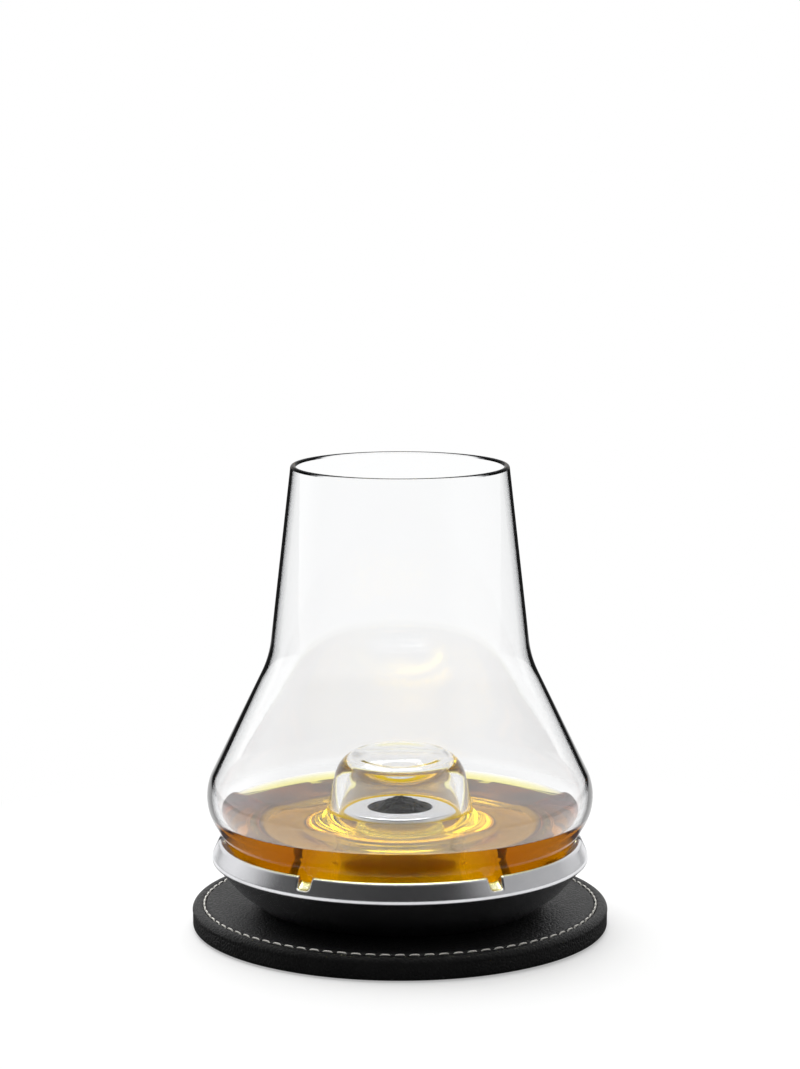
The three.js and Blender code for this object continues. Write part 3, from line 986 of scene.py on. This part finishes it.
def dark_badge():
    """Nearly black metal with a rough cast skin that glints on its high spots."""
    material, tree, shader = new_material("dark_cast_badge")
    speck = object_noise(tree, size=0.55 * MM, detail=6.0, roughness=0.7)
    pit = (0.001, 0.001, 0.0011)
    skin = (0.003, 0.0032, 0.0032)
    peak = (0.027, 0.028, 0.027)
    link(tree, ramp(tree, speck, [(0.34, pit), (0.54, skin), (0.7, peak)]), shader.inputs["Base Color"])
    set_sockets(shader, {"Metallic": 0.1, "Specular IOR Level": 0.11})
    link(tree, spread(tree, speck, low=0.5, high=0.3), shader.inputs["Roughness"])
    link(tree, bumped(tree, speck, depth=0.25 * MM, strength=0.9), shader.inputs["Normal"])
    return material


def black_leather():
    """Black leather with pebbled cells and a finer grain over them."""
    material, tree, shader = new_material("black_leather")
    cloud = object_noise(tree, size=14 * MM)
    tone = ramp(tree, cloud, [(0.3, (0.0025, 0.0025, 0.0026)), (0.7, (0.006, 0.006, 0.0062))])
    link(tree, tone, shader.inputs["Base Color"])
    set_sockets(shader, {"Specular IOR Level": 0.25})
    grain = object_noise(tree, size=0.4 * MM, detail=5.0, roughness=0.65)
    link(tree, spread(tree, grain, low=0.36, high=0.54), shader.inputs["Roughness"])
    cells = spread(tree, object_cells(tree, size=1.2 * MM), 0, 1, 0, 0.25)
    pebbles = bumped(tree, cells, depth=0.14 * MM, strength=0.8)
    skin = bumped(tree, grain, depth=0.1 * MM, strength=0.6, under=pebbles)
    link(tree, skin, shader.inputs["Normal"])
    return material


def core_board():
    """Grey board with matted fibres."""
    material, tree, shader = new_material("grey_core_board")
    fibre = object_noise(tree, size=1.2 * MM, detail=6.0, roughness=0.7)
    tone = ramp(tree, fibre, [(0.3, (0.36, 0.33, 0.29)), (0.7, (0.5, 0.46, 0.41))])
    link(tree, tone, shader.inputs["Base Color"])
    set_sockets(shader, {"Roughness": 0.9})
    link(tree, bumped(tree, fibre, depth=0.08 * MM, strength=0.5), shader.inputs["Normal"])
    return material


def cream_thread():
    """Pale thread with fine fibres and a soft sheen."""
    material, tree, shader = new_material("cream_thread")
    fibre = object_noise(tree, size=0.16 * MM, roughness=0.7)
    tone = ramp(tree, fibre, [(0.3, (0.8, 0.77, 0.7)), (0.68, (1, 0.985, 0.93))])
    link(tree, tone, shader.inputs["Base Color"])
    set_sockets(shader, {"Roughness": 0.75, "Sheen Weight": 0.3, "Sheen Roughness": 0.5})
    link(tree, bumped(tree, fibre, depth=0.05 * MM, strength=0.5), shader.inputs["Normal"])
    return material


# Studio
def seen_directly(tree, path):
    """1 for rays from the camera, and for rays that a shiny or clear surface sends on."""
    bent = math_node(tree, "MAXIMUM", path["Is Glossy Ray"], path["Is Transmission Ray"])
    return math_node(tree, "MAXIMUM", path["Is Camera Ray"], bent)


def make_floor():
    """A pale floor that shows white and keeps the shadow. In mirrored rays it is dark near by and far off."""
    turns = [FULL_TURN * k / FLOOR_SIDES for k in range(FLOOR_SIDES)]
    points = [(FLOOR_RADIUS * math.cos(turn), FLOOR_RADIUS * math.sin(turn), 0) for turn in turns]
    mesh = bpy.data.meshes.new("floor")
    mesh.from_pydata(points, [], [tuple(range(FLOOR_SIDES))])
    material, tree, shader = new_material("pale_floor")
    set_sockets(shader, {"Base Color": (0.9, 0.9, 0.9, 1), "Roughness": 0.9, "Specular IOR Level": 0.1})
    coordinates = node(tree, "ShaderNodeTexCoord")
    distance = node(tree, "ShaderNodeVectorMath", operation="LENGTH")
    link(tree, coordinates.outputs["Object"], distance.inputs[0])
    away = distance.outputs["Value"]
    path = node(tree, "ShaderNodeLightPath").outputs

    near = spread(tree, away, 0.95, 0.0, *NEAR_DARK)
    far = spread(tree, away, 0.0, 0.97, *FAR_DARK)
    mirrored = math_node(tree, "GREATER_THAN", path["Is Glossy Ray"], path["Is Transmission Ray"])
    dark = math_node(tree, "MULTIPLY", mirrored, math_node(tree, "MAXIMUM", near, far))
    glow = node(tree, "ShaderNodeEmission")
    link(tree, math_node(tree, "SUBTRACT", 1.0, dark), glow.inputs["Strength"])

    fade = spread(tree, away, 0.4, 1.0, *FLOOR_FADE)
    shown = math_node(tree, "MULTIPLY", seen_directly(tree, path), fade)
    mixed = node(tree, "ShaderNodeMixShader")
    link(tree, math_node(tree, "MAXIMUM", shown, dark), mixed.inputs[0])
    link(tree, shader.outputs[0], mixed.inputs[1])
    link(tree, glow.outputs[0], mixed.inputs[2])
    link(tree, mixed.outputs[0], material_output(tree).inputs["Surface"])
    floor = new_object("floor", mesh, material)


def make_world():
    """White all round to look at. In reflections, and as light, the room in front is dark."""
    world = bpy.data.worlds.new("studio")
    bpy.context.scene.world = world
    world.use_nodes = True
    tree = world.node_tree
    tree.nodes.clear()
    output = node(tree, "ShaderNodeOutputWorld")
    coordinates = node(tree, "ShaderNodeTexCoord")
    direction = node(tree, "ShaderNodeSeparateXYZ")
    link(tree, coordinates.outputs["Generated"], direction.inputs[0])
    right, back, up = direction.outputs

    bearing = math_node(tree, "ARCTAN2", right, math_node(tree, "MULTIPLY", back, -1.0))
    share = math_node(tree, "ADD", math_node(tree, "DIVIDE", bearing, FULL_TURN), 0.5)
    walls = ramp(tree, share, [(degrees / 360 + 0.5, (v, v, v)) for degrees, v in ROOM_BEARINGS])
    both = node(tree, "ShaderNodeMix", data_type="RGBA")
    link(tree, spread(tree, up, 0.0, 1.0, *CEILING), both.inputs["Factor"])
    wall_colour, ceiling_colour = [socket for socket in both.inputs if socket.type == "RGBA"][:2]
    link(tree, walls, wall_colour)
    ceiling_colour.default_value = (1, 1, 1, 1)
    room = node(tree, "ShaderNodeBackground")
    set_sockets(room, {"Strength": ROOM_STRENGTH})
    link(tree, next(o for o in both.outputs if o.type == "RGBA"), room.inputs["Color"])

    shown = node(tree, "ShaderNodeBackground")
    set_sockets(shown, {"Color": (1, 1, 1, 1)})
    path = node(tree, "ShaderNodeLightPath").outputs
    low = spread(tree, up, 1.0, 0.0, *HORIZON)
    through = math_node(tree, "MULTIPLY", path["Is Transmission Ray"], low)
    mixed = node(tree, "ShaderNodeMixShader")
    link(tree, math_node(tree, "MAXIMUM", path["Is Camera Ray"], through), mixed.inputs[0])
    link(tree, room.outputs[0], mixed.inputs[1])
    link(tree, shown.outputs[0], mixed.inputs[2])
    link(tree, mixed.outputs[0], output.inputs["Surface"])


def make_lamp():
    """A wide soft lamp above and behind, which doesn't show in reflections."""
    data = bpy.data.lights.new("top_softbox", "AREA")
    data.shape = "RECTANGLE"
    data.size, data.size_y = LAMP_SIZE
    data.energy = LAMP_POWER
    lamp = bpy.data.objects.new("top_softbox", data)
    lamp.location = LAMP_PLACE
    lamp.rotation_euler = (Vector(LAMP_AIM) - Vector(LAMP_PLACE)).to_track_quat("-Z", "Y").to_euler()
    lamp.visible_glossy = False
    bpy.context.scene.collection.objects.link(lamp)


def make_camera():
    """The photograph's view, from the front and a little above."""
    data = bpy.data.cameras.new("photo_view")
    data.lens = CAMERA_LENS
    camera = bpy.data.objects.new("photo_view", data)
    camera.location = CAMERA_PLACE
    camera.rotation_euler = (math.pi / 2 - CAMERA_TILT, 0, 0)
    bpy.context.scene.collection.objects.link(camera)
    bpy.context.scene.camera = camera


def place(piece, body, node_name):
    """Hangs a finished piece on its body in place of its plain node."""
    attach(piece, body)
    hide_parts(node_name)


make_camera()
make_world()
make_floor()
make_lamp()

leather = black_leather()
thread = cream_thread()
stitch_ring = stitch_ring_tree()

place(make_glass(clear_glass()), "glass", "tasting_glass")
place(make_whisky(amber_whisky()), "glass", "whisky")
place(make_cooler(satin_metal()), "cooler", "cooler_dish")
place(make_badge(dark_badge()), "cooler", "cooler_badge")
place(make_cover(leather), "coaster", "coaster_top_leather")
place(make_base(leather), "coaster", "coaster_base_leather")
top_height = COASTER_TOP + THREAD_PROUD - THREAD_RADIUS
needle = make_stitches("needle_stitches", stitch_ring, top_height, 1, NEEDLE_SEED, thread)
place(needle, "coaster", "stitch_thread")
under_height = THREAD_RADIUS + UNDER_THREAD_LIFT
bobbin = make_stitches("bobbin_stitches", stitch_ring, under_height, -1, BOBBIN_SEED, thread)
place(bobbin, "coaster", "bobbin_thread")
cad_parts["coaster_core"].material_slots[0].material = core_board()

scene = bpy.context.scene
scene.view_settings.view_transform = "Standard"
scene.cycles.max_bounces = 40  # light crosses a dozen surfaces on its way through glass and whisky
scene.cycles.transmission_bounces = 40
scene.cycles.glossy_bounces = 16
